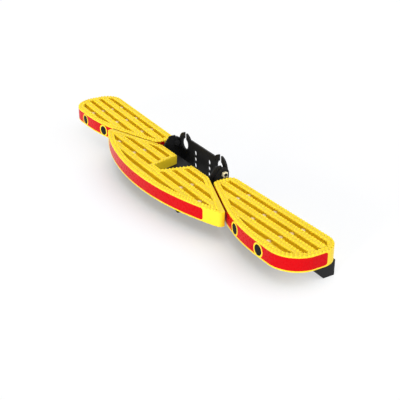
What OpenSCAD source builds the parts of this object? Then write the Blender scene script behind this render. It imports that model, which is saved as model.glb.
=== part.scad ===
// Full-width rear step for a van's tow bar: a centre tread and two wing treads, carried by a black
// steel frame whose back plate holds a tow-ball flange and two trailer sockets.
// Millimetres. X runs across the step, -Y points away from the vehicle, Z is up.
// The origin is the centre of the flange holes, on the back plate's rear face.

/* [Treads] */
// Overall length across both wings
step_l = 1442; // [1420:1:1480]
// Height of the tread tops above the flange holes
tread_top = 28; // [26:0.5:30]
// Height of a tread, top to skirt edge
tread_h = 48; // [46:0.5:52]
// Skirt and deck wall
wall = 4; // [3:0.5:5]
// Width of the plain rim round the grooves
rim_w = 20; // [18:0.5:22]
// Width of a groove between two ribs
groove_w = 16; // [12:0.5:18]
// Depth of a groove
groove_d = 16; // [14:0.5:18]
// Depth of a screw saddle below the rib tops
saddle_d = 9; // [7:0.5:11]
// Length of a screw saddle along its groove
saddle_l = 26; // [22:1:30]
// Distance between two groove rows
row_pitch = 40; // [38:0.5:42]

/* [Wing treads] */
// Inner end of a wing, from the end of the back plate
wing_clear = 36; // [35:0.5:40]
// Gap between the slanted sides of a wing and of the centre tread
tread_gap = 7; // [6:0.25:9]
// Rear edge of a wing at its inner end
wing_rear_y = -3.6; // [-5:0.1:-2]
// Angle of the rear edge, outer end towards the vehicle
wing_splay = 1.8; // [1:0.1:2.5]
// Front edge of a wing
wing_front_y = -176.5; // [-179:0.5:-174]
// Share of the front edge that the front curve takes
wing_bow_share = 0.66; // [0.5:0.01:0.8]
// Radius of the front outer corner
wing_front_r = 93; // [85:1:100]
// Radius of the rear outer corner
wing_rear_r = 60; // [50:1:70]
// Radius of the two inner corners
wing_inner_r = 24; // [18:1:26]
// First groove row, from the rear edge
wing_row_first = 32; // [31:0.5:34]
// First screw column, as a share of the wing's length
wing_column_at = 0.243; // [0.23:0.001:0.26]
// Distance between two screw columns, as a share of the wing's length
wing_column_step = 0.249; // [0.24:0.001:0.255]

/* [Centre tread] */
// Half length of the centre tread
centre_half = 384; // [381:1:388]
// Front of the centre tread at the middle
centre_front_y = -257.3; // [-262:0.5:-252]
// Front of the centre tread at its ends
centre_tip_y = -175.4; // [-178:0.2:-174]
// Width of a tip's end face before its corners are rounded
centre_end_w = 17; // [16:0.5:20]
// Straight rear edge
centre_rear_y = -75; // [-78:0.5:-74.5]
// Radius of the two front tips
centre_tip_r = 16; // [14:1:17]
// Radius of the two rear tips
centre_tip_rear_r = 4; // [2:0.5:5]
// Radius of the two rear corners
centre_rear_r = 60; // [40:1:80]
// First groove row, from the rear edge
centre_row_first = 28; // [28:0.5:30]
// Inner screw column, from the cheeks
centre_column_in = 8; // [7:0.5:12]
// Outer screw column, as a share of the half length
centre_column_at = 0.72; // [0.7:0.005:0.73]

/* [Notch] */
// Half width of the notch at the rear edge
notch_half_rear = 51; // [48:0.5:54]
// Half width of the notch at its deep end
notch_half_deep = 23; // [21:0.5:26]
// Deep end of the notch
notch_deep_y = -178; // [-180:0.5:-174]
// Radius of the deep corners
notch_r = 8; // [4:1:10]
// Rib metal left round the notch
notch_rim = 14; // [12:0.5:16]

/* [Reflective bands] */
// Height of a band
band_h = 40; // [36:0.5:41]
// Thickness of a band, and depth of its recess
band_t = 1; // [0.8:0.1:1.5]
// Rim above a band
band_top = 3.5; // [3:0.5:5]
// Plain end beside the centre band
centre_band_end = 60; // [54:1:70]
// Radius of a band's end corners
band_end_r = 8; // [4:1:12]
// Plain end beside a wing band, at the wing's inner end
wing_band_end_l = 5; // [4:0.5:12]
// Rear end of a wing band, round the outer corner
wing_band_rear_y = -42; // [-48:0.5:-40]

/* [Parking sensors] */
// Inner sensor, as a share of the way from the centre tread's tip to the wing's end
sensor_inner_at = 0.184; // [0.17:0.002:0.2]
// Outer sensor, as the same share
sensor_outer_at = 0.5875; // [0.57:0.0025:0.6]
// Height of the sensor axis above the skirt edge
sensor_rise = 22; // [21.5:0.5:24]
// Radius of a sensor's face
sensor_r = 15; // [14:0.25:16]
// Length of a sensor's body
sensor_l = 19; // [16:0.5:20]
// Outer radius of a bezel ring
bezel_r = 22; // [20.5:0.25:22.5]
// Radius of a bezel's barrel
bezel_barrel_r = 18; // [17:0.25:19]
// Thickness of a bezel's flange
bezel_t = 2; // [1.5:0.25:2.5]
// Length of a bezel's barrel behind its flange
bezel_barrel_l = 6; // [4:0.5:8]
// How far a bezel stands out of the tread
bezel_proud = 0.6; // [0.3:0.1:1]

/* [Back plate] */
// Half length of the back plate, across the cheeks
plate_half = 154; // [153:0.5:156]
// Thickness of the back plate
plate_t = 6; // [5:0.5:8]
// Top edge above the flange holes
plate_top = 59; // [58:0.5:62]
// Bottom edge below the flange holes
plate_drop = 44; // [40:1:50]
// Distance between the two columns of flange holes
flange_w = 90; // [90:1:92]
// Distance between two rows of flange holes
flange_row = 23; // [23:0.5:25]
// Radius of a flange hole, and half width of a slot
flange_hole_r = 8.5; // [8.5:0.25:9]
// Length of a slot, end to end
flange_slot_l = 20; // [19:0.5:22]

/* [Socket ears] */
// Socket centre above the flange holes
ear_z = 33.5; // [33:0.5:35]
// Radius of the socket bore
ear_bore_r = 19.5; // [19:0.25:21]
// Outer radius of an ear
ear_r = 41; // [40:0.5:42]
// Width of the cable slit
ear_slit_w = 14; // [10:0.5:16]
// Pitch circle diameter of the socket screws
ear_screw_pcd = 60; // [58:1:62]
// Radius of a socket screw hole
ear_screw_r = 2.75; // [2.5:0.25:3]

/* [Frame] */
// Thickness of the cheeks and of the beam mounting plates
cheek_t = 6; // [5:0.5:6]
// Radius of the eye round the beam bolt
eye_r = 20; // [19:0.5:22]
// Beam bolt above the flange holes
eye_z = 30; // [28:0.5:32]
// Top edge of a cheek
cheek_top = 57; // [54:0.5:60]
// Front end of a cheek's top edge
cheek_top_y = -47; // [-50:0.5:-45]
// Rear end of a cheek's top edge
cheek_step_y = -25; // [-27:0.5:-23]
// Slant of a mounting plate's front edge
mount_slant = 52; // [48:1:56]
// Front edge of a cheek, behind the centre tread
cheek_front_y = -72; // [-74:0.5:-70]
// Front end of a cheek's arm
arm_front_y = -205; // [-210:1:-202]
// Underside of the frame, where it stands
foot_z = -70; // [-76:1:-66]
// Front end of a cheek's foot
foot_front_y = -190; // [-195:1:-180]
// Top of the floor plate below the tread tops
floor_drop = 31; // [29:0.5:33]
// Thickness of the floor plate and of the arm flanges
floor_t = 6; // [5:0.5:6]
// Rear edge of the floor plate
floor_rear_y = -36; // [-40:0.5:-30]
// Front edge of the floor plate and of the arm flanges
floor_front_y = -163; // [-164:0.5:-160]
// Rear edge of the arm flanges
flange_rear_y = -82; // [-86:0.5:-80]
// Width of an arm flange
arm_flange_w = 30; // [26:1:32]
// Length of the front crossmember, as a share of the centre tread's
cross_share = 0.83; // [0.82:0.005:0.835]
// Rear edge of the front crossmember
cross_rear_y = -165; // [-166:0.5:-164.5]
// Width of the front crossmember
cross_w = 30; // [28:0.5:31]
// Height of the front crossmember
cross_h = 16; // [12:1:16]

/* [Wing beams] */
// How far a beam ends short of its wing
beam_short = 17; // [14:1:30]
// Depth of a beam's top
beam_top_w = 88; // [84:1:90]
// Depth of a beam's underside
beam_foot_w = 38; // [34:1:42]
// Wall of the beams and outriggers
beam_wall = 4; // [3:0.5:5]
// Width of an outrigger
outrigger_w = 40; // [36:1:44]
// Depth of an outrigger where it meets its beam
outrigger_drop = 30; // [24:1:36]
// Depth of an outrigger at its tip
outrigger_tip = 10; // [8:0.5:12]
// How far an outrigger reaches past its last screw
outrigger_reach = 14; // [12:1:16]

/* [Fasteners] */
// Radius of a tread screw's shank
screw_r = 4; // [3:0.25:4]
// Radius of a tread screw's head
screw_head_r = 7.5; // [6.5:0.25:8]
// Height of a tread screw's head
screw_head_h = 3.5; // [3:0.25:4]
// Radius of a screw boss under a tread
boss_r = 10; // [9:0.5:11]
// Radius of a beam bolt
bolt_r = 6; // [5:0.25:7]
// Width across the flats of a beam bolt's head and nut
bolt_flats = 19; // [17:0.5:22]
// Height of a beam bolt's head
bolt_head_h = 8; // [7:0.5:10]
// Height of a beam bolt's nut
nut_h = 10; // [9:0.5:12]
// Radius of a washer
washer_r = 12; // [11.5:0.5:14]
// Thickness of a washer
washer_t = 2.5; // [2:0.25:3]
// Bolt left standing out of its nut
bolt_over = 1; // [0.5:0.5:4]
// Radial clearance of a screw or bolt in its hole
hole_fit = 0.5; // [0.3:0.1:0.8]
// Clearance of a piece dropped into a pocket
drop_fit = 0.2; // [0.1:0.05:0.3]

/* [Hidden] */
cut = 1;
tread_bottom = tread_top - tread_h;
deck_under = tread_top - groove_d - wall;
saddle_z = tread_top - saddle_d;
floor_z = tread_top - floor_drop;
band_z = tread_top - band_top - band_h;
wing_outer_x = step_l / 2;
wing_inner_x = plate_half + wing_clear;
wing_l = wing_outer_x - wing_inner_x;
centre_rear_half = plate_half + cut;
centre_sag = centre_tip_y - centre_front_y;
centre_bow_r = (centre_half * centre_half + centre_sag * centre_sag) / (2 * centre_sag);
centre_bow_y = centre_front_y + centre_bow_r;
side_slant = atan2(centre_rear_y - centre_tip_y - centre_end_w, centre_half - centre_rear_half);
centre_band_half = centre_half - centre_band_end;
wing_band_inner_x = wing_inner_x + wing_band_end_l;
sensor_inner_x = centre_half + sensor_inner_at * (wing_outer_x - centre_half);
sensor_outer_x = centre_half + sensor_outer_at * (wing_outer_x - centre_half);
beam_end_x = wing_outer_x - beam_short;
cross_half = cross_share * centre_half;
eye_y = -eye_r;
ear_x = plate_half - ear_r;
cheek_x = plate_half - cheek_t;
mount_x = plate_half + cheek_t;
centre_column_a = plate_half + centre_column_in;
centre_column_b = centre_column_at * centre_half;
cross_front_y = cross_rear_y - cross_w;
span = 2 * step_l;

TREAD = "#f2d02c";
BAND = "#d81420";
STEEL = "#1c1d1f";
SENSOR = "#16181a";
ZINC = "#c9bd9a";

// Outline helpers. A line is given by the angle of its outward normal and its distance from the origin.
function unit(a) = [cos(a), sin(a)];
function line_d(p, a) = p * unit(a);
function meet(a1, d1, a2, d2) =
    [d1 * sin(a2) - d2 * sin(a1), d2 * cos(a1) - d1 * cos(a2)] / sin(a2 - a1);
function arc(c, r, a1, a2) =
    let (n = max(2, ceil(abs(a2 - a1) / 6), ceil(r * abs(a2 - a1) / 900)))
    [for (k = [0:n]) c + r * unit(a1 + (a2 - a1) * k / n)];
function corner(a1, d1, a2, d2, r, inset = 0) =
    let (q = max(r - inset, 0.5), s = inset + q)
    arc(meet(a1, d1 - s, a2, d2 - s), q, a1, a2);
function flip(points, first = 0) = [for (k = [len(points) - 1:-1:first]) [-points[k].x, points[k].y]];

// The slanted sides of the centre tread and of a wing run parallel, a gap apart
CENTRE_SIDE_A = 90 - side_slant;
CENTRE_SIDE_D = line_d([centre_rear_half, centre_rear_y], CENTRE_SIDE_A);
WING_SIDE_A = 270 - side_slant;
WING_SIDE_D = -CENTRE_SIDE_D - tread_gap;

// Right wing, seen from above: the slanted inner side runs tangentially into the front curve
WING_REAR_A = 90 + wing_splay;
WING_REAR_D = line_d([wing_inner_x, wing_rear_y], WING_REAR_A);
wing_nose_x = meet(WING_SIDE_A, WING_SIDE_D, 270, -wing_front_y).x;
wing_bow_l = wing_bow_share * (wing_outer_x - wing_front_r - wing_nose_x);
wing_bow_r = wing_bow_l / tan(side_slant / 2);
wing_bow_x = wing_nose_x + wing_bow_l;
wing_bow_y = wing_front_y + wing_bow_r;
function wing_outline(inset = 0) = concat(
    corner(-90, -wing_front_y, 0, wing_outer_x, wing_front_r, inset),
    corner(0, wing_outer_x, WING_REAR_A, WING_REAR_D, wing_rear_r, inset),
    corner(WING_REAR_A, WING_REAR_D, 180, -wing_inner_x, wing_inner_r, inset),
    corner(180, -wing_inner_x, WING_SIDE_A, WING_SIDE_D, wing_inner_r, inset),
    arc([wing_bow_x, wing_bow_y], wing_bow_r - inset, WING_SIDE_A, 270));
function wing_row_y(x, row) =
    wing_rear_y + (x - wing_inner_x) * tan(wing_splay) - (wing_row_first + row * row_pitch) / cos(wing_splay);
function wing_column(k) = wing_inner_x + (wing_column_at + k * wing_column_step) * wing_l;
WING_SCREWS = [for (k = [0:2], row = [0:k + 1]) [wing_column(k), wing_row_y(wing_column(k), row)]];

// Centre tread, seen from above
function centre_tip(inset) =
    let (q = centre_tip_r - inset,
         reach = centre_bow_r - centre_tip_r,
         x = centre_half - centre_tip_r,
         a = asin(x / reach) - 90,
         tip = [x, centre_bow_y - sqrt(reach * reach - x * x)])
    concat(
        arc([0, centre_bow_y], centre_bow_r - inset, -90, a),
        arc(tip, q, a, 0),
        corner(0, centre_half, CENTRE_SIDE_A, CENTRE_SIDE_D, centre_tip_rear_r, inset));
// Further in than the tip's radius, the front curve meets the slanted side in a point
function centre_point(inset) =
    let (rise = CENTRE_SIDE_D - inset - centre_bow_y * sin(CENTRE_SIDE_A))
    arc([0, centre_bow_y], centre_bow_r - inset, -90,
        CENTRE_SIDE_A - acos(rise / (centre_bow_r - inset)));
function centre_half_outline(inset) =
    concat(
        inset < centre_tip_r - 1 ? centre_tip(inset) : centre_point(inset),
        corner(CENTRE_SIDE_A, CENTRE_SIDE_D, 90, centre_rear_y, centre_rear_r, inset));
function centre_outline(inset = 0) =
    concat(centre_half_outline(inset), flip(centre_half_outline(inset), 1));
function centre_row_y(row) = centre_rear_y - centre_row_first - row * row_pitch;
CENTRE_SCREWS = [for (s = [-1, 1]) each [
    [s * centre_column_a, centre_row_y(1)],
    [s * centre_column_a, centre_row_y(2)],
    [s * centre_column_b, centre_row_y(2)]]];

// The notch narrows from the rear edge to its deep end
NOTCH_A = atan2(notch_half_deep - notch_half_rear, centre_rear_y - notch_deep_y);
NOTCH_D = line_d([notch_half_rear, centre_rear_y], NOTCH_A);
function notch_outline(grow = 0) =
    let (deep = corner(-90, -notch_deep_y + grow, NOTCH_A, NOTCH_D + grow, notch_r),
         mouth = meet(NOTCH_A, NOTCH_D + grow, 90, centre_rear_y + wall))
    concat(deep, [mouth], flip([mouth]), flip(deep));

module wing_plan(inset = 0) polygon(wing_outline(inset));
module centre_plan(inset = 0, grow = 0) {
    difference() {
        polygon(centre_outline(inset));
        polygon(notch_outline(grow));
    }
}
// A layer of a plan shape between two heights
module layer(z0, z1) translate([0, 0, z0]) linear_extrude(z1 - z0) children();
// Bars across a tread, one for each row: n rows from the first, w wide
module wing_bars(first, n, w) {
    for (row = [0:n - 1])
        translate([wing_inner_x, wing_rear_y])
            rotate(wing_splay)
                translate([-wall, -first - row * row_pitch - w / 2])
                    square([wing_outer_x, w]);
}
module centre_bars(first, n, w) {
    for (row = [0:n - 1])
        translate([-centre_half, centre_rear_y - first - row * row_pitch - w / 2])
            square([2 * centre_half, w]);
}
module saddles(points) {
    for (p = points)
        translate(p) square([saddle_l, row_pitch - groove_w], center = true);
}
module screw_holes(points, r, z0, z1) {
    for (p = points)
        translate([p.x, p.y, z0]) cylinder(r = r, h = z1 - z0, $fn = 32);
}
// A vertical web under the deck at each screw column, with a boss round each screw
module wing_webs() {
    for (k = [0:2])
        translate([wing_column(k) - wall / 2, -span / 2]) square([wall, span]);
    for (p = WING_SCREWS) translate(p) circle(r = boss_r, $fn = 48);
}
module centre_webs() {
    for (s = [-1, 1], x = [centre_column_a, centre_column_b])
        translate([s * x - wall / 2, -span / 2]) square([wall, span]);
    for (p = CENTRE_SCREWS) translate(p) circle(r = boss_r, $fn = 48);
}

// Sensor places on a wing: x, y and the angle of the face's outward normal
function sensor_angle(x) = 270 - asin(min(sin(side_slant), max(0, (wing_bow_x - x) / wing_bow_r)));
function sensor_y(x) =
    x < wing_bow_x - wing_bow_r * sin(side_slant)
        ? (WING_SIDE_D - x * cos(WING_SIDE_A)) / sin(WING_SIDE_A)
        : wing_bow_y + wing_bow_r * sin(sensor_angle(x));
module at_sensor(x) {
    translate([x, sensor_y(x), tread_bottom + sensor_rise])
        rotate([90, 0, sensor_angle(x) - 270]) children();
}
module sensor_cutout() {
    translate([0, 0, -bezel_t]) cylinder(r = bezel_r + drop_fit, h = bezel_t + wall, $fn = 64);
    translate([0, 0, -bezel_t - bezel_barrel_l - drop_fit])
        cylinder(r = bezel_barrel_r + drop_fit, h = bezel_barrel_l + wall, $fn = 64);
    translate([0, 0, -sensor_l - 2 * bezel_t]) cylinder(r = sensor_r + hole_fit, h = sensor_l, $fn = 64);
}

// Reflective bands: thin skins set flush into the outer faces
module wing_band_zone() {
    polygon([
        [wing_band_inner_x, 2 * wing_front_y],
        [wing_outer_x + wall, 2 * wing_front_y],
        [wing_outer_x + wall, wing_band_rear_y],
        [wing_bow_x, wing_band_rear_y],
        [wing_band_inner_x, wing_band_rear_y - wing_inner_r]]);
}
module wing_band_skin() {
    layer(band_z, band_z + band_h)
        intersection() {
            difference() {
                wing_plan(0);
                wing_plan(band_t);
            }
            wing_band_zone();
        }
}
// Rounds the rear end of a wing band, seen from the side
module wing_band_end() {
    translate([wing_bow_x, 0, 0])
        rotate([90, 0, 90])
            linear_extrude(wing_outer_x)
                polygon(concat(
                    [[2 * wing_front_y, band_z + band_h], [2 * wing_front_y, band_z]],
                    corner(-90, -band_z, 0, wing_band_rear_y, band_end_r),
                    corner(0, wing_band_rear_y, 90, band_z + band_h, band_end_r)));
}
module wing_band_strip(x0, x1) {
    translate([x0, -span / 2, band_z - cut]) cube([x1 - x0, span, band_h + 2 * cut]);
}
module wing_band(x0, x1) {
    difference() {
        intersection() {
            wing_band_skin();
            wing_band_strip(x0, x1);
            if (x1 > sensor_outer_x) wing_band_end();
        }
        for (x = [sensor_inner_x, sensor_outer_x])
            if (x >= x0 && x <= x1)
                at_sensor(x)
                    translate([0, 0, -wall]) cylinder(r = bezel_r + drop_fit, h = 2 * wall, $fn = 64);
    }
}
module wing_bands() {
    wing_band(0, sensor_outer_x);
    wing_band(sensor_outer_x, wing_outer_x + wall);
}
module centre_band_strip() {
    translate([0, centre_tip_y, 0])
        rotate([90, 0, 0])
            linear_extrude(centre_bow_r)
                polygon(concat(
                    corner(-90, -band_z, 0, centre_band_half, band_end_r),
                    corner(0, centre_band_half, 90, band_z + band_h, band_end_r),
                    corner(90, band_z + band_h, 180, centre_band_half, band_end_r),
                    corner(180, centre_band_half, 270, -band_z, band_end_r)));
}
module centre_band() {
    color(BAND)
        intersection() {
            layer(band_z, band_z + band_h)
                difference() {
                    polygon(centre_outline(0));
                    polygon(centre_outline(band_t));
                }
            centre_band_strip();
        }
}

// Ribbed tread mouldings: grooves from above, hollow ribs and a skirt from below
module wing_tread() {
    color(TREAD)
        difference() {
            layer(tread_bottom, tread_top) wing_plan();
            layer(saddle_z, tread_top + cut) intersection() {
                wing_plan(rim_w);
                wing_bars(wing_row_first, 4, groove_w);
            }
            layer(tread_top - groove_d, saddle_z + cut) difference() {
                intersection() {
                    wing_plan(rim_w);
                    wing_bars(wing_row_first, 4, groove_w);
                }
                saddles(WING_SCREWS);
            }
            layer(deck_under - cut, tread_top - wall) intersection() {
                wing_plan(rim_w);
                wing_bars(wing_row_first + row_pitch / 2, 3, row_pitch - groove_w - 2 * wall);
            }
            layer(tread_bottom - cut, deck_under) difference() {
                wing_plan(wall);
                wing_webs();
            }
            wing_bands();
            for (x = [sensor_inner_x, sensor_outer_x]) at_sensor(x) sensor_cutout();
            screw_holes(WING_SCREWS, screw_r + hole_fit, tread_bottom - cut, tread_top);
        }
}
module centre_tread() {
    color(TREAD)
        difference() {
            layer(tread_bottom, tread_top) centre_plan();
            layer(saddle_z, tread_top + cut) intersection() {
                centre_plan(rim_w, notch_rim);
                centre_bars(centre_row_first, 4, groove_w);
            }
            layer(tread_top - groove_d, saddle_z + cut) difference() {
                intersection() {
                    centre_plan(rim_w, notch_rim);
                    centre_bars(centre_row_first, 4, groove_w);
                }
                saddles(CENTRE_SCREWS);
            }
            layer(deck_under - cut, tread_top - wall) intersection() {
                centre_plan(rim_w, notch_rim);
                centre_bars(centre_row_first + row_pitch / 2, 3, row_pitch - groove_w - 2 * wall);
            }
            layer(tread_bottom - cut, deck_under) difference() {
                centre_plan(wall, wall);
                centre_webs();
            }
            frame_pocket();
            centre_band();
            screw_holes(CENTRE_SCREWS, screw_r + hole_fit, tread_bottom - cut, tread_top);
        }
}
// Room under the centre tread for the floor plate, the arms and the front crossmember
module frame_pocket() {
    x = plate_half + drop_fit;
    translate([-x, floor_front_y - cut, tread_bottom - cut])
        cube([2 * x, centre_rear_y - floor_front_y + 2 * cut, floor_z - tread_bottom + cut]);
    layer(tread_bottom - cut, floor_z) intersection() {
        centre_plan(wall);
        translate([-centre_half, cross_front_y - cut])
            square([2 * centre_half, centre_rear_y - wall - cross_front_y]);
    }
}

// Parking sensors
module sensor_bezel() {
    color(TREAD)
        difference() {
            union() {
                translate([0, 0, -bezel_t]) cylinder(r = bezel_r, h = bezel_t + bezel_proud, $fn = 64);
                translate([0, 0, -bezel_t - bezel_barrel_l])
                    cylinder(r = bezel_barrel_r, h = bezel_barrel_l + cut, $fn = 64);
            }
            translate([0, 0, -sensor_l]) cylinder(r = sensor_r + drop_fit, h = 2 * sensor_l, $fn = 64);
        }
}
module sensor() {
    color(SENSOR)
        translate([0, 0, -sensor_l - bezel_proud]) cylinder(r = sensor_r, h = sensor_l, $fn = 64);
}

// Back plate: three rows of flange holes in two columns, and a split ring at each end for a socket
module flange_holes() {
    for (s = [-1, 1]) {
        translate([s * flange_w / 2, 0]) circle(r = flange_hole_r, $fn = 48);
        for (t = [-1, 1])
            translate([s * flange_w / 2, t * flange_row]) {
                h = flange_slot_l - 2 * flange_hole_r;
                translate([0, h / 2]) circle(r = flange_hole_r, $fn = 48);
                translate([0, -h / 2]) circle(r = flange_hole_r, $fn = 48);
                square([2 * flange_hole_r, h], center = true);
            }
    }
}
module plate_shape() {
    intersection() {
        union() {
            polygon([
                [-plate_half, -plate_drop], [plate_half, -plate_drop], [plate_half, ear_z],
                [ear_x, ear_z], [ear_x, plate_top], [-ear_x, plate_top],
                [-ear_x, ear_z], [-plate_half, ear_z]]);
            for (s = [-1, 1]) translate([s * ear_x, ear_z]) circle(r = ear_r, $fn = 96);
        }
        translate([-plate_half, -plate_drop]) square([2 * plate_half, plate_drop + ear_z + 2 * ear_r]);
    }
}
module back_plate() {
    color(STEEL)
        rotate([90, 0, 0])
            linear_extrude(plate_t)
                difference() {
                    plate_shape();
                    flange_holes();
                    for (s = [-1, 1])
                        translate([s * ear_x, ear_z]) {
                            circle(r = ear_bore_r, $fn = 96);
                            translate([-ear_slit_w / 2, 0]) square([ear_slit_w, 2 * ear_r]);
                            for (a = [30, 150, 270])
                                translate(ear_screw_pcd / 2 * unit(a)) circle(r = ear_screw_r, $fn = 32);
                        }
                }
}

// A plate shape drawn in Y and Z, standing between two places along X
module upright(x0, x1) translate([x0, 0, 0]) rotate([90, 0, 90]) linear_extrude(x1 - x0) children();
module eye_hole() translate([eye_y, eye_z]) circle(r = bolt_r + hole_fit, $fn = 48);

// Cheek: eye plate at the rear, arm and foot under the centre tread, flange folded outwards
module cheek_shape() {
    arm_z = floor_z - floor_t;
    difference() {
        union() {
            translate([eye_y, eye_z]) circle(r = eye_r, $fn = 96);
            polygon([
                [0, eye_z], [0, foot_z + wall], [-plate_t - wall, foot_z], [foot_front_y, foot_z],
                [arm_front_y, (foot_z + tread_bottom) / 2], [arm_front_y, floor_z - cross_h],
                [floor_front_y, floor_z - cross_h], [floor_front_y, arm_z], [cheek_front_y, arm_z],
                [cheek_front_y, tread_top - wall], [cheek_top_y, cheek_top],
                [cheek_step_y, cheek_top], [cheek_step_y, eye_z]]);
        }
        translate([-plate_t, foot_z - cut]) square([2 * plate_t, cheek_top - foot_z + 2 * cut]);
    }
}
module cheek() {
    color(STEEL) {
        difference() {
            union() {
                upright(cheek_x, plate_half) cheek_shape();
                translate([cheek_x, floor_front_y, floor_z - floor_t])
                    cube([cheek_t + arm_flange_w, flange_rear_y - floor_front_y, floor_t]);
            }
            upright(cheek_x - cut, plate_half + cut) eye_hole();
            screw_holes([[centre_column_a, centre_row_y(1)]], screw_r + hole_fit, foot_z, tread_top);
        }
    }
}
module floor_plate() {
    color(STEEL)
        translate([-cheek_x, floor_front_y, floor_z - floor_t])
            cube([2 * cheek_x, floor_rear_y - floor_front_y, floor_t]);
}
// Channel under the front rows of the centre tread, open below
module front_crossmember() {
    color(STEEL)
        difference() {
            translate([-cross_half, cross_front_y, floor_z - cross_h])
                cube([2 * cross_half, cross_w, cross_h]);
            translate([-cross_half - cut, cross_front_y + beam_wall, floor_z - cross_h - cut])
                cube([2 * (cross_half + cut), cross_w - 2 * beam_wall, cross_h - beam_wall + cut]);
            screw_holes(CENTRE_SCREWS, screw_r + hole_fit, foot_z, tread_top);
        }
}

// Wing beam: folded box section with a slanted front, a mounting plate inside and an end plate outside
function beam_section(inset = 0) =
    let (slant = atan2(tread_bottom - foot_z, beam_top_w - beam_foot_w),
         front_a = 270 - slant,
         front_d = line_d([-beam_foot_w, foot_z], front_a) - inset,
         top_d = tread_bottom - inset,
         foot_d = -foot_z - inset)
    [[-inset, top_d],
     meet(90, top_d, front_a, front_d),
     meet(front_a, front_d, 270, foot_d),
     [-inset, -foot_d]];
function outrigger_tip_y(column) = wing_row_y(column, column > wing_column(1) ? 3 : 2) - outrigger_reach;
BEAM_SCREWS = [for (p = WING_SCREWS) if (p.y > -beam_top_w) p];
module beam() {
    color(STEEL)
        difference() {
            upright(mount_x, beam_end_x - beam_wall) polygon(beam_section());
            upright(mount_x - cut, beam_end_x) polygon(beam_section(beam_wall));
            screw_holes(BEAM_SCREWS, screw_r + hole_fit, tread_bottom - 2 * beam_wall, tread_top);
        }
}
module beam_end_plate() {
    color(STEEL) upright(beam_end_x - beam_wall, beam_end_x) polygon(beam_section());
}
module beam_mount_plate() {
    slope = [cos(mount_slant), sin(mount_slant)];
    top = [eye_y, eye_z] + eye_r * unit(90 + mount_slant);
    color(STEEL)
        upright(plate_half, mount_x)
            difference() {
                union() {
                    translate([eye_y, eye_z]) circle(r = eye_r, $fn = 96);
                    polygon([
                        [0, eye_z], [eye_y, eye_z], top,
                        top - slope * (top.y - tread_bottom) / slope.y, [0, tread_bottom]]);
                    polygon(beam_section());
                }
                eye_hole();
            }
}
// Outrigger: short channel from a beam's slanted front to the last screw of its column
module outrigger(column) {
    tip = outrigger_tip_y(column);
    slant_y = function(z) -beam_top_w + (tread_bottom - z) * (beam_top_w - beam_foot_w) / (tread_bottom - foot_z);
    root_z = tread_bottom - outrigger_drop;
    skin_z = tread_bottom - beam_wall;
    color(STEEL)
        difference() {
            union() {
                upright(column - outrigger_w / 2, column + outrigger_w / 2)
                    polygon([
                        [slant_y(tread_bottom), tread_bottom], [tip, tread_bottom],
                        [tip, skin_z], [slant_y(skin_z), skin_z]]);
                for (x = [-outrigger_w / 2, outrigger_w / 2 - beam_wall])
                    upright(column + x, column + x + beam_wall)
                        polygon([
                            [slant_y(tread_bottom), tread_bottom], [tip, tread_bottom],
                            [tip, tread_bottom - outrigger_tip], [slant_y(root_z), root_z]]);
            }
            screw_holes(WING_SCREWS, screw_r + hole_fit, foot_z, tread_top);
        }
}

// Fasteners
module screw(p, seat) {
    translate([p.x, p.y, saddle_z]) cylinder(r = screw_head_r, h = screw_head_h, $fn = 48);
    translate([p.x, p.y, seat - floor_t - screw_r])
        cylinder(r = screw_r, h = saddle_z - seat + floor_t + screw_r, $fn = 32);
}
module hex_prism(flats, h) cylinder(r = flats / sqrt(3), h = h, $fn = 6);
module beam_bolt() {
    translate([cheek_x - bolt_head_h, eye_y, eye_z])
        rotate([0, 90, 0]) {
            hex_prism(bolt_flats, bolt_head_h);
            cylinder(r = bolt_r, h = bolt_head_h + 2 * cheek_t + washer_t + nut_h + bolt_over, $fn = 48);
        }
}
module beam_washer() {
    translate([mount_x, eye_y, eye_z])
        rotate([0, 90, 0])
            difference() {
                cylinder(r = washer_r, h = washer_t, $fn = 64);
                translate([0, 0, -cut]) cylinder(r = bolt_r + drop_fit, h = washer_t + 2 * cut, $fn = 48);
            }
}
module beam_nut() {
    translate([mount_x + washer_t, eye_y, eye_z])
        rotate([0, 90, 0])
            difference() {
                hex_prism(bolt_flats, nut_h);
                translate([0, 0, -cut]) cylinder(r = bolt_r + drop_fit, h = nut_h + 2 * cut, $fn = 48);
            }
}

// Right-hand pieces are drawn as they are, left-hand ones mirrored
module side(s) {
    if (s == "left") mirror([1, 0, 0]) children();
    else children();
}
module both() {
    children();
    mirror([1, 0, 0]) children();
}

centre_tread();
centre_band();
for (s = ["left", "right"]) side(s) {
    wing_tread();
    color(BAND) wing_band(0, sensor_inner_x);
    color(BAND) wing_band(sensor_inner_x, sensor_outer_x);
    color(BAND) wing_band(sensor_outer_x, wing_outer_x + wall);
    for (place = [["inner", sensor_inner_x], ["outer", sensor_outer_x]]) at_sensor(place[1]) {
        sensor_bezel();
        sensor();
    }
    cheek();
    beam_mount_plate();
    beam();
    beam_end_plate();
    outrigger(wing_column(1));
    outrigger(wing_column(2));
}
back_plate();
floor_plate();
front_crossmember();
color(STEEL) both() beam_bolt();  // beam_bolts
color(STEEL) both() beam_washer();  // beam_washers
color(ZINC) both() beam_nut();  // beam_nuts
color(ZINC) for (p = CENTRE_SCREWS) screw(p, floor_z);  // centre_tread_screws
color(ZINC) both() for (p = WING_SCREWS) screw(p, tread_bottom);  // wing_tread_screws
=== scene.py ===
"""Looks for a van's rear step: ribbed yellow treads with grip nubs, red reflective bands, parking
sensors and a satin black steel frame, on a plain floor seen from the photograph's angle."""
import math

import bmesh
import bpy
from mathutils import Matrix, Vector


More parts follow.
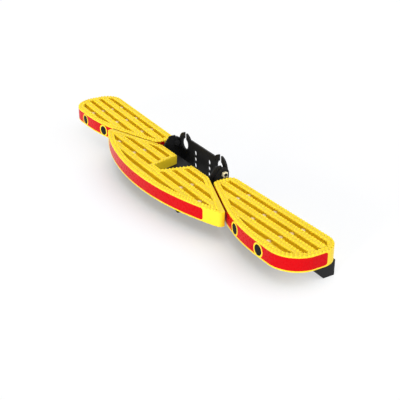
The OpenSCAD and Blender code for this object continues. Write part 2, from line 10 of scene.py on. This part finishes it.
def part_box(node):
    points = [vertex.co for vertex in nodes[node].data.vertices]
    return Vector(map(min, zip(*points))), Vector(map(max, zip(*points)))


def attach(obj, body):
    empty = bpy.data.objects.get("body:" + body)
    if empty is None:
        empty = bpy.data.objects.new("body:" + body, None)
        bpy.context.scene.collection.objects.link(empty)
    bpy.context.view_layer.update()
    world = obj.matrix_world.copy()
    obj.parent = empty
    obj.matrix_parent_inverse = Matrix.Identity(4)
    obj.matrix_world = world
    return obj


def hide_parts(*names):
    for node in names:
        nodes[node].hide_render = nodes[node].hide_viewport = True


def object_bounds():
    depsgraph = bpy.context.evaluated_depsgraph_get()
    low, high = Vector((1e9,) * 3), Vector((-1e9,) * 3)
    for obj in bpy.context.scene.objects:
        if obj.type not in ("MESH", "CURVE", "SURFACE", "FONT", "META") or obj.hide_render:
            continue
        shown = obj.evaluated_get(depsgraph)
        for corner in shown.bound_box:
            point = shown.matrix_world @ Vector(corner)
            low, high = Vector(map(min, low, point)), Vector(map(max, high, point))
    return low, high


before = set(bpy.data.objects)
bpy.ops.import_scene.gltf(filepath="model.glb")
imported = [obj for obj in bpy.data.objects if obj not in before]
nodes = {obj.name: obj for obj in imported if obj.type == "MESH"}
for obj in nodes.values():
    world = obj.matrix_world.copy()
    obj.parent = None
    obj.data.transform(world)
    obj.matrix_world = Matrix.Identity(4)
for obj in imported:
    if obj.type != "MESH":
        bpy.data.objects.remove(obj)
cad_box = [list(v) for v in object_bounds()]

# ---------------------------------------------------------------- plan outlines of the treads
# All in metres and degrees, with the values of the part.
TOP = 0.028
ROW = 0.040
RIB_W = 0.024
SIDE_ANGLE = 69.99
SIDE_GAP = 0.007

CENTRE_REAR_Y = -0.075
CENTRE_REAR_X = 0.155
CENTRE_REAR_R = 0.060
CENTRE_BOW = Vector((0, 0.6839))
CENTRE_BOW_R = 0.9412
CENTRE_BOW_END = -66.6
CENTRE_FIRST_RIB = 0.036

WING_INNER_X = 0.190
WING_INNER_R = 0.024
WING_REAR_Y = -0.0036
WING_REAR_SLOPE = 1.8
WING_REAR_R = 0.060
WING_END_X = 0.721
WING_END_R = 0.093
WING_FRONT_Y = -0.1765
WING_BOW = Vector((0.5689, 0.4737))
WING_BOW_R = 0.6502
WING_FIRST_RIB = 0.040

NOTCH_CORNER = Vector((0.051, -0.075))
NOTCH_RUN = (0.103, -0.028)
NOTCH_FRONT_Y = -0.178
NOTCH_REAR_Y = -0.071
NOTCH_R = 0.008


def unit(a):
    return Vector((math.cos(math.radians(a)), math.sin(math.radians(a))))


def meet(a1, d1, a2, d2):
    """Where two lines cross, each given by its outward normal's angle and its distance"""
    turn = math.sin(math.radians(a2 - a1))
    n1, n2 = unit(a1), unit(a2)
    return Vector(((d1 * n2.y - d2 * n1.y) / turn, (d2 * n1.x - d1 * n2.x) / turn))


def arc(centre, r, a1, a2):
    n = max(6, int(abs(a2 - a1) * r * 20))
    return [centre + r * unit(a1 + (a2 - a1) * k / n) for k in range(n + 1)]


def corner(a1, d1, a2, d2, r, inset=0.0):
    """A rounded corner between two lines, both moved inwards by inset"""
    q = max(r - inset, 0.0005)
    return arc(meet(a1, d1 - inset - q, a2, d2 - inset - q), q, a1, a2)


def mirrored(half):
    return [Vector((-p.x, p.y)) for p in reversed(half)]


# Straight edges, as the outward normal's angle and the distance from the origin
CENTRE_SIDE = (SIDE_ANGLE, Vector((CENTRE_REAR_X, CENTRE_REAR_Y)).dot(unit(SIDE_ANGLE)))
WING_SIDE = (SIDE_ANGLE + 180, -CENTRE_SIDE[1] - SIDE_GAP)
WING_REAR_ANGLE = 90 + WING_REAR_SLOPE
WING_REAR = (WING_REAR_ANGLE, Vector((WING_INNER_X, WING_REAR_Y)).dot(unit(WING_REAR_ANGLE)))
NOTCH_ANGLE = math.degrees(math.atan2(NOTCH_RUN[1], NOTCH_RUN[0]))
NOTCH_SIDE = (NOTCH_ANGLE, NOTCH_CORNER.dot(unit(NOTCH_ANGLE)))


def wing_outline(inset):
    return (corner(-90, -WING_FRONT_Y, 0, WING_END_X, WING_END_R, inset)
            + corner(0, WING_END_X, *WING_REAR, WING_REAR_R, inset)
            + corner(*WING_REAR, 180, -WING_INNER_X, WING_INNER_R, inset)
            + corner(180, -WING_INNER_X, *WING_SIDE, WING_INNER_R, inset)
            + arc(WING_BOW, WING_BOW_R - inset, WING_SIDE[0], 270))


def centre_outline(inset):
    r = CENTRE_BOW_R - inset
    rise = CENTRE_SIDE[1] - inset - CENTRE_BOW.dot(unit(CENTRE_SIDE[0]))
    end = CENTRE_SIDE[0] - math.degrees(math.acos(rise / r))
    half = (arc(CENTRE_BOW, r, -90, min(end, CENTRE_BOW_END))
            + corner(*CENTRE_SIDE, 90, CENTRE_REAR_Y, CENTRE_REAR_R, inset))
    return half + mirrored(half)[1:]


def notch_outline(grow):
    angle, away = NOTCH_SIDE[0], NOTCH_SIDE[1] + grow
    half = corner(-90, -NOTCH_FRONT_Y + grow, angle, away, NOTCH_R)
    half.append(meet(angle, away, 90, NOTCH_REAR_Y))
    return half + mirrored(half)


def within(p, loop):
    inside = False
    for a, b in zip(loop, loop[1:] + loop[:1]):
        if (a.y > p.y) != (b.y > p.y):
            if p.x < a.x + (p.y - a.y) * (b.x - a.x) / (b.y - a.y):
                inside = not inside
    return inside


def walk(loop, pitch):
    """Points evenly spaced along a closed loop"""
    pairs = list(zip(loop, loop[1:] + loop[:1]))
    total = sum((b - a).length for a, b in pairs)
    step = total / round(total / pitch)
    out, left = [], 0.0
    for a, b in pairs:
        length = (b - a).length
        while left < length:
            out.append(a.lerp(b, left / length))
            left += step
        left -= length
    return out


# ---------------------------------------------------------------- materials
def material(name, colour, roughness, metallic=0.0, **sockets):
    mat = bpy.data.materials.new(name)
    mat.use_nodes = True
    tree = mat.node_tree
    shader = tree.nodes["Principled BSDF"]
    shader.inputs["Base Color"].default_value = (*colour, 1)
    shader.inputs["Roughness"].default_value = roughness
    shader.inputs["Metallic"].default_value = metallic
    for key, value in sockets.items():
        shader.inputs[key.replace("_", " ")].default_value = value
    return mat, tree, shader


def noise(tree, scale, detail):
    place = tree.nodes.new("ShaderNodeTexCoord")
    out = tree.nodes.new("ShaderNodeTexNoise")
    out.inputs["Scale"].default_value = scale
    out.inputs["Detail"].default_value = detail
    out.inputs["Roughness"].default_value = 0.55
    tree.links.new(place.outputs["Object"], out.inputs["Vector"])
    return out.outputs["Fac"]


def ramp(tree, value, stops):
    node = tree.nodes.new("ShaderNodeValToRGB")
    node.color_ramp.elements[0].position = stops[0][0]
    node.color_ramp.elements[0].color = (*stops[0][1], 1)
    node.color_ramp.elements[1].position = stops[-1][0]
    node.color_ramp.elements[1].color = (*stops[-1][1], 1)
    for at, colour in stops[1:-1]:
        element = node.color_ramp.elements.new(at)
        element.color = (*colour, 1)
    tree.links.new(value, node.inputs["Fac"])
    return node.outputs["Color"]


def map_range(tree, value, source, target, kind="LINEAR"):
    node = tree.nodes.new("ShaderNodeMapRange")
    node.interpolation_type = kind
    node.inputs["From Min"].default_value, node.inputs["From Max"].default_value = source
    node.inputs["To Min"].default_value, node.inputs["To Max"].default_value = target
    tree.links.new(value, node.inputs["Value"])
    return node.outputs["Result"]


def bump(tree, shader, height, strength, distance):
    node = tree.nodes.new("ShaderNodeBump")
    node.inputs["Strength"].default_value = strength
    node.inputs["Distance"].default_value = distance
    tree.links.new(height, node.inputs["Height"])
    tree.links.new(node.outputs["Normal"], shader.inputs["Normal"])


def surface(name, colour, roughness, tint, stops, grain, rough, **sockets):
    """A material whose colour wanders between stops and whose roughness wanders between two
    values. tint and grain are the scale and detail of the two noises"""
    mat, tree, shader = material(name, colour, roughness, **sockets)
    tree.links.new(ramp(tree, noise(tree, *tint), stops), shader.inputs["Base Color"])
    tree.links.new(map_range(tree, noise(tree, *grain), (0.3, 0.7), rough),
                   shader.inputs["Roughness"])
    return mat, tree, shader


YELLOW = (0.86, 0.63, 0.022)
YELLOW_STOPS = [(0.3, (0.83, 0.60, 0.018)), (0.5, YELLOW), (0.75, (0.89, 0.66, 0.028))]
tread_mat, tree, shader = surface("tread_yellow", YELLOW, 0.42, (9, 3), YELLOW_STOPS,
                                  (160, 4), (0.34, 0.52), Specular_IOR_Level=0.22)
bump(tree, shader, noise(tree, 900, 3), 0.12, 0.0004)

RED = (0.53, 0.0015, 0.004)
RED_STOPS = [(0.3, (0.50, 0.001, 0.003)), (0.5, RED), (0.75, (0.56, 0.002, 0.005))]
band_mat, tree, shader = surface("band_red", RED, 0.36, (6, 2), RED_STOPS,
                                 (120, 2), (0.22, 0.36), Specular_IOR_Level=0.07)
cells = tree.nodes.new("ShaderNodeTexVoronoi")
cells.inputs["Scale"].default_value = 420
place = tree.nodes.new("ShaderNodeTexCoord")
tree.links.new(place.outputs["Object"], cells.inputs["Vector"])
bump(tree, shader, cells.outputs["Distance"], 0.03, 0.0002)

BLACK_STOPS = [(0.3, (0.006, 0.006, 0.0065)), (0.7, (0.012, 0.012, 0.013))]
steel_mat, tree, shader = surface("frame_black", (0.0075, 0.0075, 0.008), 0.42, (14, 3),
                                  BLACK_STOPS, (260, 5), (0.36, 0.5), Specular_IOR_Level=0.13)
bump(tree, shader, noise(tree, 1500, 2), 0.16, 0.0002)

SENSOR_STOPS = [(0.3, (0.004, 0.004, 0.005)), (0.7, (0.009, 0.009, 0.010))]
sensor_mat, _, _ = surface("sensor_black", (0.005, 0.005, 0.006), 0.5, (60, 3), SENSOR_STOPS,
                           (500, 3), (0.42, 0.56), Specular_IOR_Level=0.07)

ZINC_STOPS = [(0.3, (0.86, 0.74, 0.42)), (0.7, (0.93, 0.86, 0.62))]
zinc_mat, _, _ = surface("zinc_pale_gold", (0.90, 0.80, 0.50), 0.40, (90, 4), ZINC_STOPS,
                         (600, 4), (0.26, 0.44), metallic=0.55)

SCREW_STOPS = [(0.3, (0.74, 0.54, 0.26)), (0.7, (0.84, 0.68, 0.42))]
screw_mat, _, _ = surface("screw_pale", (0.66, 0.50, 0.25), 0.42, (160, 3), SCREW_STOPS,
                          (500, 3), (0.34, 0.5), metallic=0.3)

# The first ending that a node's name has gives its material
DRESS = [("tread", tread_mat), ("bezel", tread_mat), ("band", band_mat), ("sensor", sensor_mat),
         ("tread_screws", screw_mat), ("beam_nuts", zinc_mat), ("", steel_mat)]
for name in nodes:
    data = nodes[name].data
    data.materials.clear()
    data.materials.append(next(mat for ending, mat in DRESS if name.endswith(ending)))


def piece(name, bm, mat, smooth=True):
    mesh = bpy.data.meshes.new(name)
    bm.to_mesh(mesh)
    bm.free()
    for face in mesh.polygons:
        face.use_smooth = smooth
    mesh.materials.append(mat)
    obj = bpy.data.objects.new(name, mesh)
    bpy.context.scene.collection.objects.link(obj)
    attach(obj, "root")
    return obj


def join_rings(bm, one, two):
    """A band of faces between two rings with as many corners"""
    n = len(one)
    for k in range(n):
        bm.faces.new((one[k], one[(k + 1) % n], two[(k + 1) % n], two[k]))


# ---------------------------------------------------------------- grip nubs
NUB_SIDES = 8
# Rings of a nub: radius, and height above the tread's top
NUB_PROFILE = ((0.003808, -0.0003), (0.0034, 0.001386), (0.002448, 0.002772), (0.001156, 0.0033))
# Distance between two nubs in a row, and the least one between any two
PITCH = 0.012
LEAST = 0.0082
# Nub rows lie this far inside the edges that they follow
EDGE = 0.0036
RIM_W = 0.0200
# Nubs on the ribs keep this far inside the outline
RIB_CLEAR = 0.0235


def nub(bm, p):
    """A low rounded grip nub moulded on a tread's top"""
    rings = []
    for radius, height in NUB_PROFILE:
        ring = []
        for k in range(NUB_SIDES):
            a = 2 * math.pi * (k + 0.5) / NUB_SIDES
            ring.append(bm.verts.new((p.x + radius * math.cos(a), p.y + radius * math.sin(a),
                                      TOP + height)))
        rings.append(ring)
    for low, high in zip(rings, rings[1:]):
        join_rings(bm, low, high)
    bm.faces.new(rings[-1])


def nub_piece(name, places, flip=1):
    bm = bmesh.new()
    kept = []
    for p in places:
        if all((p - q).length > LEAST for q in kept):
            kept.append(p)
            nub(bm, Vector((flip * p.x, p.y)))
    if flip < 0:
        bmesh.ops.reverse_faces(bm, faces=bm.faces[:])
    return piece(name, bm, tread_mat)


def rib_edges(first, row):
    """How far in front of the rear edge a rib's two rows of nubs lie"""
    return first + row * ROW + EDGE, first + RIB_W + row * ROW - EDGE


def wing_places():
    """Nubs along the rim's outer edge, both edges of each rib, and the rim's inner edge"""
    places = walk(wing_outline(EDGE), PITCH)
    slope = math.radians(WING_REAR_SLOPE)
    for row in range(-1, 4):
        inner = wing_outline(RIB_CLEAR if row >= 0 else 0.0190)
        for away in rib_edges(WING_FIRST_RIB, row):
            for k in range(45):
                x = 0.196 + k * PITCH
                y = (WING_REAR_Y + (x - WING_INNER_X) * math.tan(slope)
                     - away / math.cos(slope))
                if within(Vector((x, y)), inner):
                    places.append(Vector((x, y)))
    return places + walk(wing_outline(RIM_W - EDGE), PITCH)


def centre_places():
    """Nubs round the notch, along the rim's two edges and along both edges of each rib"""
    mouth, inner_mouth = notch_outline(0.0035), notch_outline(0.0100)
    places = [p for p in walk(notch_outline(EDGE), PITCH) if p.y < -0.078]
    places += [p for p in walk(centre_outline(EDGE), PITCH) if not within(p, mouth)]
    inner, hole = centre_outline(RIB_CLEAR), notch_outline(0.0140)
    for row in range(4):
        for away in rib_edges(CENTRE_FIRST_RIB, row):
            for k in range(64):
                p = Vector(((k - 31.5) * PITCH, CENTRE_REAR_Y - away))
                if within(p, inner) and not within(p, hole):
                    places.append(p)
    rim = walk(centre_outline(RIM_W - EDGE), PITCH)
    return places + [p for p in rim if not within(p, inner_mouth)]


wing = wing_places()
nub_piece("right_wing_nubs", wing)
nub_piece("left_wing_nubs", wing, -1)
nub_piece("centre_nubs", centre_places())

# ---------------------------------------------------------------- sensor faces
FACE_SIDES = 48
# Rings of a sensor's domed face: radius, and height in front of the sensor
FACE_PROFILE = [(0.0176, -0.0010), (0.0176, 0.0006), (0.0168, 0.0012), (0.0100, 0.0016),
                (0.0030, 0.0017)]


def sensor_face(name, node):
    """A round face turned about a sensor's own axis, the normal of its largest front face"""
    corners = [nodes[node].matrix_world @ v.co for v in nodes[node].data.vertices]
    low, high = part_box(node)
    centre = (Vector(low) + Vector(high)) / 2
    facing = {}
    for face in nodes[node].data.polygons:
        key = tuple(round(c, 3) for c in face.normal)
        facing[key] = facing.get(key, 0.0) + face.area
    axis = Vector(max((k for k in facing if k[1] < 0), key=lambda k: facing[k])).normalized()
    front = max((c - centre).dot(axis) for c in corners)
    side = axis.cross(Vector((0, 0, 1))).normalized()
    top = side.cross(axis)
    bm = bmesh.new()
    rings = []
    for r, h in FACE_PROFILE:
        turns = [2 * math.pi * k / FACE_SIDES for k in range(FACE_SIDES)]
        rings.append([bm.verts.new(centre + axis * (front + h)
                                   + r * (math.cos(a) * side + math.sin(a) * top))
                      for a in turns])
    for one, two in zip(rings, rings[1:]):
        join_rings(bm, one, two)
    bm.faces.new(rings[-1])
    bmesh.ops.recalc_face_normals(bm, faces=bm.faces[:])
    return piece(name, bm, sensor_mat)


for side_name in ("left", "right"):
    for place_name in ("inner", "outer"):
        node = f"{side_name}_{place_name}_sensor"
        sensor_face(node + "_face", node)

# ---------------------------------------------------------------- tape round inner corners
TAPE_HALF = 0.0006
TAPE_REAR_Y = -0.046
TAPE_LOW, TAPE_HIGH = -0.0155, 0.0245
# The inner length of the wing's band starts here
BAND_X = 0.1962


def tape_line(out):
    """The tape's plan line, from its rear end on the inner face round the corner to the band"""
    bend = corner(180, -WING_INNER_X, *WING_SIDE, WING_INNER_R, -out)
    return [Vector((WING_INNER_X - out, TAPE_REAR_Y))] + [p for p in bend if p.x < BAND_X]


def tape_end(name, flip):
    bm = bmesh.new()
    columns = []
    for outer, inner in zip(tape_line(TAPE_HALF), tape_line(-TAPE_HALF)):
        columns.append([bm.verts.new((flip * p.x, p.y, z)) for p, z in (
            (outer, TAPE_LOW), (outer, TAPE_HIGH), (inner, TAPE_HIGH), (inner, TAPE_LOW))])
    for one, two in zip(columns, columns[1:]):
        join_rings(bm, one, two)
    bm.faces.new(columns[0])
    bm.faces.new(columns[-1])
    bmesh.ops.recalc_face_normals(bm, faces=bm.faces[:])
    piece(name, bm, band_mat, smooth=False)


tape_end("right_inner_band_end", 1)
tape_end("left_inner_band_end", -1)

# ---------------------------------------------------------------- square nuts on the beam bolts
NUT_SIDES = 48
NUT_HALF = 0.0080
NUT_HOLE = 0.0056
NUT_CHAMFER = 0.0010
HOLE_CHAMFER = 0.0008
# Higher is squarer
NUT_POWER = 7


def nut_radius(shape, a, at_face):
    if shape == "hole":
        return NUT_HOLE + (HOLE_CHAMFER if at_face else 0)
    spread = abs(math.cos(a)) ** NUT_POWER + abs(math.sin(a)) ** NUT_POWER
    return (NUT_HALF - (NUT_CHAMFER if at_face else 0)) / spread ** (1 / NUT_POWER)


def square_nuts():
    """A square nut with rounded corners round each bolt, where the part has hexagonal nuts"""
    low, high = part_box("beam_nuts")
    y, z = (low[1] + high[1]) / 2, (low[2] + high[2]) / 2
    inner = min(v.co.x for v in nodes["beam_nuts"].data.vertices if v.co.x > 0)
    outer = high[0]
    bm = bmesh.new()
    for flip in (1, -1):
        rings = []
        for shape, x in (("hole", inner), ("hole", outer - HOLE_CHAMFER), ("hole", outer),
                         ("square", outer), ("square", outer - NUT_CHAMFER), ("square", inner)):
            ring = []
            for k in range(NUT_SIDES):
                a = 2 * math.pi * k / NUT_SIDES
                r = nut_radius(shape, a, x == outer)
                ring.append(bm.verts.new((flip * x, y + r * math.cos(a), z + r * math.sin(a))))
            rings.append(ring)
        for one, two in zip(rings, rings[1:] + rings[:1]):
            join_rings(bm, one, two)
    bmesh.ops.recalc_face_normals(bm, faces=bm.faces[:])
    obj = piece("square_nuts", bm, zinc_mat, smooth=False)
    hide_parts("beam_nuts")


square_nuts()

# ---------------------------------------------------------------- floor, light and camera
WHITE = (1, 1, 1, 1)
FLOOR = cad_box[0][2] - 0.0002
FLOOR_HALF = 30
# Painted light: the floor glows white for camera and reflected rays and so lightens its shadow,
# least within the near distance of the place below and most beyond the far one
PAINTED_GLOW_PLACE = (0.16, -0.25, FLOOR)
PAINTED_GLOW_NEAR, PAINTED_GLOW_FAR = 0.28, 0.85
PAINTED_GLOW_LEAST, PAINTED_GLOW_MOST = 0.26, 0.85
FILL = 0.16


def background_rays(tree):
    """1 for the rays that see the white background: straight, reflected and through glass"""
    path = tree.nodes.new("ShaderNodeLightPath")
    seen = path.outputs["Is Camera Ray"]
    for ray in ("Is Glossy Ray", "Is Transmission Ray"):
        either = tree.nodes.new("ShaderNodeMath")
        either.operation = "MAXIMUM"
        tree.links.new(seen, either.inputs[0])
        tree.links.new(path.outputs[ray], either.inputs[1])
        seen = either.outputs["Value"]
    return seen


def glowing(tree, kind, strength):
    node = tree.nodes.new(kind)
    node.inputs["Color"].default_value = WHITE
    node.inputs["Strength"].default_value = strength
    return node


def mixed(tree, factor, one, two):
    node = tree.nodes.new("ShaderNodeMixShader")
    tree.links.new(factor, node.inputs["Fac"])
    tree.links.new(one, node.inputs[1])
    tree.links.new(two, node.inputs[2])
    return node.outputs["Shader"]


scene = bpy.context.scene
scene.view_settings.view_transform = "Standard"

floor_mesh = bpy.data.meshes.new("floor")
floor_mesh.from_pydata([(x * FLOOR_HALF, y * FLOOR_HALF, FLOOR)
                        for x, y in ((-1, -1), (1, -1), (1, 1), (-1, 1))], [], [(0, 1, 2, 3)])
floor = bpy.data.objects.new("floor", floor_mesh)
scene.collection.objects.link(floor)
floor_mat, tree, shader = material("floor_white", (0.945, 0.963, 0.995), 0.9,
                                   Specular_IOR_Level=0.1)
floor_mesh.materials.append(floor_mat)
# Painted light: a white glow, seen by camera and reflected rays, grows with distance from the
# place below and lightens the floor's shadow
place = tree.nodes.new("ShaderNodeTexCoord")
away = tree.nodes.new("ShaderNodeVectorMath")
away.operation = "DISTANCE"
away.inputs[1].default_value = PAINTED_GLOW_PLACE
tree.links.new(place.outputs["Object"], away.inputs[0])
painted_glow_share = tree.nodes.new("ShaderNodeMath")
painted_glow_share.operation = "MULTIPLY"
tree.links.new(background_rays(tree), painted_glow_share.inputs[0])
tree.links.new(map_range(tree, away.outputs["Value"], (PAINTED_GLOW_NEAR, PAINTED_GLOW_FAR),
                         (PAINTED_GLOW_LEAST, PAINTED_GLOW_MOST), "SMOOTHSTEP"), painted_glow_share.inputs[1])
painted_glow = glowing(tree, "ShaderNodeEmission", 1.0)
tree.links.new(mixed(tree, painted_glow_share.outputs["Value"], shader.outputs["BSDF"],
                     painted_glow.outputs["Emission"]),
               tree.nodes["Material Output"].inputs["Surface"])

world = bpy.data.worlds.new("studio")
scene.world = world
world.use_nodes = True
tree = world.node_tree
tree.nodes.clear()
out = tree.nodes.new("ShaderNodeOutputWorld")
fill = glowing(tree, "ShaderNodeBackground", FILL)
white = glowing(tree, "ShaderNodeBackground", 1.0)
tree.links.new(mixed(tree, background_rays(tree), fill.outputs["Background"],
                     white.outputs["Background"]), out.inputs["Surface"])


def sun(name, height, turn, spread, strength):
    """A broad lamp at an angle above the floor, turned about Z from straight in front"""
    light = bpy.data.lights.new(name, "SUN")
    light.angle = math.radians(spread)
    light.energy = strength
    obj = bpy.data.objects.new(name, light)
    scene.collection.objects.link(obj)
    obj.rotation_euler = (math.radians(90 - height), 0, math.radians(turn))


sun("back_light", 60, 145, 110, 3.0)
sun("front_light", 8, 22, 14, 2.9)

camera_data = bpy.data.cameras.new("camera")
camera = bpy.data.objects.new("camera", camera_data)
scene.collection.objects.link(camera)
scene.camera = camera
camera_data.sensor_width = 36
camera_data.lens = 74.565
camera_data.clip_end = 60
AZ, EL = math.radians(58.93), math.radians(26.72)
CAMERA = (2.2047, -1.3420, 1.1599)
back = Vector((math.sin(AZ) * math.cos(EL), -math.cos(AZ) * math.cos(EL), math.sin(EL)))
right = Vector((math.cos(AZ), math.sin(AZ), 0))
up = back.cross(right)
camera.matrix_world = Matrix([(right[k], up[k], back[k], CAMERA[k]) for k in range(3)]
                             + [(0, 0, 0, 1)])

bpy.context.view_layer.update()
